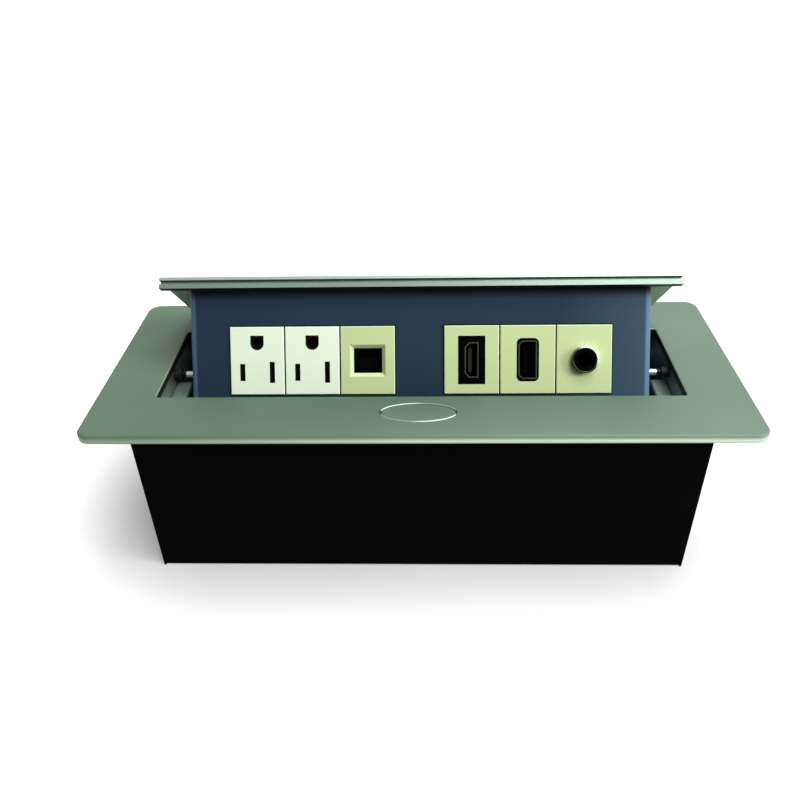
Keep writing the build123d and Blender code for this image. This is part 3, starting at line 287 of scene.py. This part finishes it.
def plate_finish(name, dark, light, pale, rim_highlight, wall_shade, roughness=0.42):
    """The cover frame: satin on top, paler to the right by painted light, with a painted
    highlight on its rounded rim and on the opening's top edge, and painted shade on the walls
    inside the opening.
    """
    m = Nodes(name, roughness, Specular_IOR_Level=0.25)
    field = satin(m, dark, light, roughness)
    x = m.place_along(ACROSS)
    y = m.place_along(DEEP)
    depth = m.maths("SUBTRACT", FRAME_TOP, m.place_along(UP))
    # painted light: the satin turns paler towards the right, where the lamps stand
    painted_light_right = m.ramp(x, -40 * MM, 70 * MM, 0.0, 0.045)
    field = m.mix(painted_light_right, field, pale)

    past = m.past_rectangle(x, y, (0, 0), FRAME_HALF)
    at_rim = m.step(past, -RIM_WIDTH, 0.3 * MM)
    below_top = m.ramp(depth, 0.5 * MM, 2.2 * MM)
    above_foot = m.ramp(depth, 2.7 * MM, FRAME_THICKNESS, 1.0, 0.35)
    # painted highlight on the rounded rim, strongest towards the right and fading towards the
    # foot
    rim_highlight_right = m.ramp(x, -115 * MM, 0.0, 0.42, 1.0)
    rim = m.times(at_rim, below_top, above_foot, rim_highlight_right)

    inner = m.other(at_rim)
    # painted highlight along the turned top edge of the opening, in the rim's highlight tone
    turned = m.ramp(m.facing(UP), 0.98, 0.80)
    lip = m.times(inner, turned, m.ramp(depth, 0.5 * MM, 0.3 * MM), 0.45)
    # painted shade on the walls inside the opening
    wall = m.times(inner, m.step(depth, 0.6 * MM, 0.15 * MM))

    # painted highlight on the rim
    colour = m.mix(rim, field, rim_highlight)
    colour = m.mix(lip, colour, rim_highlight)
    m.colour(m.mix(wall, colour, wall_shade))
    m.link(m.ramp(rim, 0.0, 1.0, 0.12, 0.75), m.shader.inputs["Metallic"])
    return m.material


def lid_finish(name, dark, light, top_highlight, groove, underside_light, roughness=0.36):
    """The lid: satin, with a painted highlight on the top band of its nose, painted shade in
    its groove and under the nose, and painted light on its underside behind the nose.
    """
    m = Nodes(name, roughness, 0.6)
    field = satin(m, dark, light, roughness)
    drop = m.maths("SUBTRACT", LID_TOP, m.place_along(LID_UP))
    depth = m.maths("SUBTRACT", NOSE_FRONT, m.place_along(LID_FRONT))
    below_top = m.step(drop, GROOVE_TOP)
    above_foot = m.other(m.step(drop, GROOVE_FOOT))
    inside = m.times(below_top, above_foot, m.ramp(depth, 0.1 * MM, 0.6 * MM))
    under = m.ramp(m.facing(-LID_UP), 0.5, 0.8)
    behind_nose = m.step(depth, NOSE_DEPTH)
    # painted highlight on the top band of the nose
    colour = m.mix(m.other(below_top), field, top_highlight)
    # painted shade in the nose's groove, darker than the painted highlight above it
    colour = m.mix(inside, colour, groove)
    # painted shade, near black, on the underside of the nose
    colour = m.mix(m.times(under, m.other(behind_nose)), colour, shade(groove, 0.06))
    # painted light on the lid's underside behind the nose
    m.colour(m.mix(m.times(under, behind_nose), colour, underside_light))
    return m.material


def brushed(m, colour, stretch=(1, 1, 1)):
    """The colour of metal with fine brush lines, and the noise that draws the lines."""
    lines = m.noise(BRUSH_LINES, 2, stretch)
    return m.mix(m.ramp(lines, 0.35, 0.65), shade(colour, 0.86), colour), lines


def brushed_metal(name, colour, roughness, stretch=(1, 1, 1), metallic=1.0):
    """Plain metal, brushed along the direction in which its stretch is small."""
    m = Nodes(name, roughness, metallic)
    tone, lines = brushed(m, colour, stretch)
    m.grain(lines, (roughness - 0.06, roughness + 0.08), 0.06, 0.05 * MM)
    m.colour(tone)
    return m.material


def pin_finish(name, colour, far_tone, roughness=0.34):
    """A guide pin: bright beside the panel, and near black farther out than a set distance
    past the panel's side.
    """
    m = Nodes(name, roughness, 0.8)
    tone, lines = brushed(m, colour, (0.08, 1, 1))
    x = m.maths("ABSOLUTE", m.place_along(ACROSS))
    out = m.maths("SUBTRACT", x, PANEL_HALF)
    m.grain(lines, (roughness - 0.06, roughness + 0.08), 0.06, 0.05 * MM)
    # near black from a set distance past the panel's side outwards
    m.colour(m.mix(m.step(out, PIN_DARK_FROM, 0.15 * MM), tone, far_tone))
    return m.material


def nut_finish(name, colour, shade_tone):
    """Polished metal, with a greenish painted shade on its lower left."""
    m = Nodes(name, 0.20, 0.9)
    lines = m.noise(BRUSH_LINES, 2)
    away = (-ACROSS - FACE_UP).normalized()
    middle = (reach("audio_nut", away) - reach("audio_nut", -away)) / 2
    # painted shade over the lower left of the nut
    shaded_side = m.ramp(m.place_along(away), middle - 3.4 * MM, middle - 0.6 * MM)
    m.grain(lines, (0.14, 0.26), 0.06, 0.05 * MM)
    m.colour(m.mix(shaded_side, colour, shade_tone))
    return m.material


def lip_finish(name, bright, dim, tip_shade):
    """The button's bead: a painted highlight at the back left and front right, and painted
    shade at both ends.
    """
    m = Nodes(name, 0.32, 0.3)
    x = m.maths("SUBTRACT", m.place_along(ACROSS), BUTTON_CENTRE[0])
    y = m.maths("SUBTRACT", m.place_along(DEEP), BUTTON_CENTRE[1])
    # painted highlight at the back left and front right of the bead
    highlight_corners = m.ramp(m.times(x, y), 18 * MM * MM, -12 * MM * MM)
    # painted shade at the two ends of the ellipse
    shaded_tips = m.step(m.maths("ABSOLUTE", x), BUTTON_HALF[0] - 0.05 * MM, 0.25 * MM)
    m.colour(m.mix(shaded_tips, m.mix(highlight_corners, dim, bright), tip_shade))
    grain = m.noise(SATIN_GRAIN, 1.5)
    m.link(m.spread(grain, 0.27, 0.38), m.shader.inputs["Roughness"])
    return m.material


def coated(m, dark, light, peel_scale, roughness, strength):
    """The orange-peel and faint clouds of a coat on sheet metal."""
    peel = m.noise(peel_scale, 2)
    clouds = m.noise(COAT_CLOUDS, 2)
    m.grain(peel, (roughness - 0.05, roughness + 0.07), strength, 0.12 * MM)
    return m.mix(m.spread(clouds), dark, light)


def box_finish(name, dark, light, roughness=0.75):
    """The matt powder coat of the box."""
    m = Nodes(name, roughness, Specular_IOR_Level=0.012)
    m.colour(coated(m, dark, light, COAT_PEEL, roughness, 0.10))
    return m.material


def panel_finish(name, dark, light, bend_highlight, edge, roughness=0.42):
    """The panel's satin paint, with a painted highlight on its bends and towards its right
    end, a painted shadow under the lid, and painted shade in the gap round each row of
    modules.
    """
    m = Nodes(name, roughness, Specular_IOR_Level=0.06)
    colour = coated(m, dark, light, PANEL_PEEL, roughness, 0.07)
    x = m.place_along(ACROSS)
    up = m.place_along(FACE_UP)
    # painted highlight on the bends of the sheet, and more of it towards the right end
    at_bend = m.ramp(m.maths("ABSOLUTE", m.facing(ACROSS)), 0.06, 0.40)
    right_end_light = m.ramp(x, 60 * MM, 96 * MM, 0.0, 0.28)
    colour = m.mix(at_bend, colour, bend_highlight)
    colour = m.mix(right_end_light, colour, bend_highlight)
    # painted shade in the gap round each row of modules
    for first, last in MODULE_ROWS:
        left, right = -reach(first, -ACROSS), reach(last, ACROSS)
        low, high = -reach(last, -FACE_UP), reach(last, FACE_UP)
        centre = ((left + right) / 2, (low + high) / 2)
        half = ((right - left) / 2, (high - low) / 2)
        past = m.past_rectangle(x, up, centre, half)
        colour = m.mix(m.ramp(past, 0.75 * MM, 0.25 * MM), colour, edge)
    # painted shadow of the lid across the top of the panel
    below_lid = m.maths("SUBTRACT", PANEL_TOP, up)
    colour = m.mix(m.ramp(below_lid, 5.5 * MM, 1.5 * MM), colour, shade(edge, 0.3))
    m.colour(colour)
    return m.material


def moulded(m, colour, flow_depth, grain_scale, roughness, strength):
    """The faint flow marks and fine spark-eroded grain of moulded plastic."""
    flow = m.noise(MOULD_FLOW, 2, (1, 1, 0.4))
    grain = m.noise(grain_scale, 1.5)
    m.grain(grain, (roughness - 0.04, roughness + 0.05), strength, 0.05 * MM)
    return m.mix(m.spread(flow), shade(colour, flow_depth), colour)


def plastic(name, colour, roughness, grain_scale=MOULD_GRAIN, strength=0.05, **sockets):
    """Plain moulded plastic or rubber."""
    m = Nodes(name, roughness, **sockets)
    m.colour(moulded(m, colour, 0.95, grain_scale, roughness, strength))
    return m.material


def module_plastic(name, colour, edge, wall, roughness=0.36):
    """A module's face: a painted highlight on its rounded edges, and painted shade on the
    walls of its gaps and slots.
    """
    m = Nodes(name, roughness)
    field = moulded(m, colour, 0.96, MOULD_GRAIN, roughness, 0.05)
    out = m.facing(FACE_OUT)
    # painted highlight on the rounded edges
    bevelled = m.times(m.ramp(out, 0.60, 0.68), m.ramp(out, 0.72, 0.80, 0.35, 1.0))
    rounded = m.times(m.ramp(out, 0.99, 0.95), bevelled)
    # painted shade on the sloping walls of gaps and slots
    shaded_wall_mask = m.ramp(out, 0.45, 0.2)
    m.colour(m.mix(shaded_wall_mask, m.mix(rounded, field, edge), wall))
    return m.material


make_camera()

PLATE_DARK = linear(83, 106, 86)
PLATE_LIGHT = linear(92, 116, 95)

FINISH = {
    "cover_frame": plate_finish(
        "plate_metal",
        dark=PLATE_DARK,
        light=PLATE_LIGHT,
        # pale: the tone of the painted light towards the right
        pale=(0.55, 0.60, 0.62),
        # painted highlight tone of the rim and of the opening's top edge
        rim_highlight=linear(181, 196, 179),
        # painted shade tone of the walls inside the opening
        wall_shade=(0.010, 0.012, 0.011),
    ),
    "button": satin_metal("button_metal", PLATE_DARK, PLATE_LIGHT),
    "lid": lid_finish(
        "lid_metal",
        dark=linear(110, 125, 115),
        light=linear(118, 133, 123),
        # painted highlight tone of the nose's top band
        top_highlight=linear(152, 166, 158),
        # groove: the painted shade tone of the nose's groove
        groove=linear(126, 148, 134),
        # painted light tone of the lid's underside
        underside_light=linear(196, 204, 188),
    ),
    "box": box_finish("box_coat", (0.0013, 0.0013, 0.0014), (0.0018, 0.0018, 0.0019)),
    "socket_panel": panel_finish(
        "panel_coat",
        dark=linear(33, 47, 60),
        light=linear(40, 56, 72),
        # painted highlight tone of the bends and the right end
        bend_highlight=linear(90, 118, 141),
        # edge: the painted shade tone of the gaps, and, darker still, of the lid's painted
        # shadow
        edge=linear(10, 15, 18),
    ),
    "steel": brushed_metal("steel", (0.40, 0.43, 0.42), 0.38, (0.08, 1, 1), 0.8),
    "ledge": brushed_metal("ledge_steel", linear(122, 146, 132), 0.50, (1, 0.08, 1), 0.4),
    "spring_steel": brushed_metal("spring_steel", (0.42, 0.43, 0.44), 0.30),
    "screws": brushed_metal("screw_steel", (0.50, 0.51, 0.50), 0.34, (1, 1, 0.2)),
    "socket_metal": brushed_metal("shell_metal", (0.055, 0.060, 0.048), 0.34),
    # the contacts are coloured near black instead of brass: painted shade deep in the slots
    "contacts": brushed_metal("shaded_contact_metal", (0.060, 0.030, 0.014), 0.35),
    "outlet_plastic": module_plastic(
        "outlet_plastic",
        colour=linear(228, 242, 218),
        # edge: painted highlight tone of the rounded edges; wall: painted shade tone of the
        # walls
        edge=linear(240, 250, 236),
        wall=linear(40, 46, 34),
    ),
    "bezel_plastic": module_plastic(
        "bezel_plastic",
        colour=linear(190, 207, 150),
        # edge: painted highlight tone of the rounded edges; wall: painted shade tone of the
        # walls
        edge=linear(220, 236, 196),
        wall=linear(80, 96, 60),
    ),
    "dark_plastic": plastic(
        "dark_plastic", (0.010, 0.010, 0.011), 0.50, Specular_IOR_Level=0.2
    ),
    "gear_plastic": plastic("gear_plastic", (0.70, 0.70, 0.66), 0.42),
    "grommet_rubber": plastic("rubber", (0.010, 0.010, 0.010), 0.70, RUBBER_GRAIN, 0.12),
    "housing_plastic": plastic(
        "housing_plastic", (0.008, 0.008, 0.009), 0.5, Specular_IOR_Level=0.1
    ),
    "jack_plastic": plastic(
        "jack_plastic", (0.001, 0.001, 0.002), 0.5, Specular_IOR_Level=0.04
    ),
    "insert_plastic": plastic(
        "insert_plastic", (0.0008, 0.0008, 0.001), 0.5, Specular_IOR_Level=0.01
    ),
}

pin_steel = pin_finish("pin_steel", (0.55, 0.57, 0.55), (0.006, 0.006, 0.006))

OWN_FINISH = {
    # the nut's second tone is a greenish painted shade on its lower left
    "audio_nut": nut_finish("nut_metal", (0.80, 0.83, 0.78), linear(46, 56, 32)),
    "left_guide_pin": pin_steel,
    "right_guide_pin": pin_steel,
    "video_tongue": plastic(
        "tongue_plastic", (0.014, 0.012, 0.008), 0.5, Specular_IOR_Level=0.1
    ),
}

for row in frame["record"]["subparts"]:
    data = nodes[row["node"]].data
    data.materials.clear()
    data.materials.append(OWN_FINISH.get(row["node"], FINISH[row["material_slot"]]))


# Lip round the button, a rounded bead on the edge of its hole, with a painted highlight and
# painted shade in its colour
LIP_RADIUS = 0.30 * MM
LIP_SINK = 0.05 * MM
LIP_STEPS = 96
LIP_SECTION = 10


def round_section(mesh, middle, out):
    """One ring of the bead's points, upright, round a point of the hole's edge."""
    ring = []
    for step in range(LIP_SECTION):
        angle = 2 * math.pi * step / LIP_SECTION
        way = out * math.cos(angle) + UP * math.sin(angle)
        ring.append(mesh.verts.new(middle + LIP_RADIUS * way))
    return ring


def button_lip():
    """Sweeps a small round section along the hole's ellipse."""
    half = [h + BUTTON_GAP + LIP_RADIUS / 3 for h in BUTTON_HALF]
    centre = Vector((*BUTTON_CENTRE, FRAME_TOP - LIP_SINK))
    mesh = bmesh.new()
    rings = []
    for step in range(LIP_STEPS):
        angle = 2 * math.pi * step / LIP_STEPS
        middle = centre + Vector((half[0] * math.cos(angle), half[1] * math.sin(angle), 0))
        out = Vector((math.cos(angle) / half[0], math.sin(angle) / half[1], 0)).normalized()
        rings.append(round_section(mesh, middle, out))
    for one, two in zip(rings, rings[1:] + rings[:1]):
        for j in range(LIP_SECTION):
            k = (j + 1) % LIP_SECTION
            face = mesh.faces.new((one[j], two[j], two[k], one[k]))
            face.smooth = True
    bmesh.ops.recalc_face_normals(mesh, faces=mesh.faces)
    data = bpy.data.meshes.new("button_lip")
    mesh.to_mesh(data)
    mesh.free()
    # the bead's tones: a painted highlight, its plainer tone, and painted shade at both ends
    data.materials.append(lip_finish(
        "button_lip_highlight",
        bright=linear(188, 208, 192),
        dim=linear(136, 160, 138),
        tip_shade=linear(26, 36, 28),
    ))
    lip = bpy.data.objects.new("button_lip", data)
    bpy.context.scene.collection.objects.link(lip)
    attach(lip, "housing")


button_lip()


def twisting_spring(name, node):
    """A copy of the CAD spring, shown in place of the hidden CAD spring."""
    spring = bpy.data.objects.new(name, nodes[node].data.copy())
    bpy.context.scene.collection.objects.link(spring)
    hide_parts(node)
    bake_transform(spring)


twisting_spring("left_spring_coil", "left_torsion_spring")
twisting_spring("right_spring_coil", "right_torsion_spring")


# Floor, world and lamps
FLOOR_SIDE = 12
FLOOR_TONE = 0.55
# width and glow of the painted shade round the box
SHADE_WIDTH = 0.10
SHADE_GLOW = 0.25
FAR_GLOW = 0.95
WORLD_LIGHT = 0.04
WORLD_SEEN = 1.0
WHITE = (1, 1, 1, 1)


def seen_straight(tree):
    """1 for what the camera sees, itself or in metal and glass, and 0 for diffuse light."""
    path = tree.nodes.new("ShaderNodeLightPath")
    result = path.outputs["Is Camera Ray"]
    for name in ("Is Glossy Ray", "Is Transmission Ray"):
        larger = tree.nodes.new("ShaderNodeMath")
        larger.operation = "MAXIMUM"
        tree.links.new(result, larger.inputs[0])
        tree.links.new(path.outputs[name], larger.inputs[1])
        result = larger.outputs["Value"]
    return result


def white_floor():
    """A pale floor that the camera sees as white, with the object's shadow left on it; its
    glow is lower round the box, which adds a painted shade there.
    """
    bpy.ops.mesh.primitive_plane_add(size=FLOOR_SIDE, location=(0, 0, 0))
    floor = bpy.context.object
    floor.name = "floor"
    m = Nodes("floor_white", 0.95, Specular_IOR_Level=0.0)
    m.colour((FLOOR_TONE, FLOOR_TONE, FLOOR_TONE, 1))
    box_half, box_depth = reach("box_shell", ACROSS), reach("box_shell", DEEP)
    x = m.maths("ABSOLUTE", m.place_along(ACROSS))
    y = m.place_along(DEEP)
    past_end = m.maths("MAXIMUM", m.maths("SUBTRACT", x, box_half - box_depth), 0.0)
    away = m.maths("SQRT", m.maths("ADD", m.times(past_end, past_end), m.times(y, y)))
    shade_end = box_depth + SHADE_WIDTH
    # lower glow round the box: the real shadow shows there, together with a painted shade that
    # fades out to white
    glow = m.ramp(away, box_depth, shade_end, SHADE_GLOW, FAR_GLOW, "SMOOTHSTEP")
    m.shader.inputs["Emission Color"].default_value = WHITE
    m.link(m.times(glow, seen_straight(m.tree)), m.shader.inputs["Emission Strength"])
    floor.data.materials.append(m.material)


def make_world():
    """White where it is seen, and dim as a source of light."""
    world = bpy.data.worlds.new("world")
    world.use_nodes = True
    bpy.context.scene.world = world
    tree = world.node_tree
    background = tree.nodes["Background"]
    background.inputs["Color"].default_value = WHITE
    strength = tree.nodes.new("ShaderNodeMapRange")
    strength.inputs["To Min"].default_value = WORLD_LIGHT
    strength.inputs["To Max"].default_value = WORLD_SEEN
    tree.links.new(seen_straight(tree), strength.inputs["Value"])
    tree.links.new(strength.outputs["Result"], background.inputs["Strength"])


def lamp(name, at, aim, size, watts):
    """A soft rectangular lamp that points from one place to another, in metres."""
    data = bpy.data.lights.new(name, "AREA")
    data.shape = "RECTANGLE"
    data.size, data.size_y = size
    data.energy = watts
    lamp_object = bpy.data.objects.new(name, data)
    lamp_object.location = at
    ray = Vector(aim) - Vector(at)
    lamp_object.rotation_mode = "QUATERNION"
    lamp_object.rotation_quaternion = ray.to_track_quat("-Z", "Y")
    bpy.context.scene.collection.objects.link(lamp_object)


white_floor()
make_world()
lamp("key", at=(0.30, 0.05, 1.35), aim=(0, 0, 0.05), size=(0.7, 0.7), watts=11)
lamp("side", at=(0.95, -0.35, 0.62), aim=(0.05, 0, 0.08), size=(0.35, 0.45), watts=8.5)
lamp("front", at=(0.5, -0.7, 1.2), aim=(0, 0, 0.08), size=(0.6, 0.5), watts=9.5)
lamp("rear", at=(0.2, 1.1, 1.1), aim=(0, 0, 0.08), size=(1.2, 0.5), watts=5)
bpy.context.scene.view_settings.view_transform = "Standard"
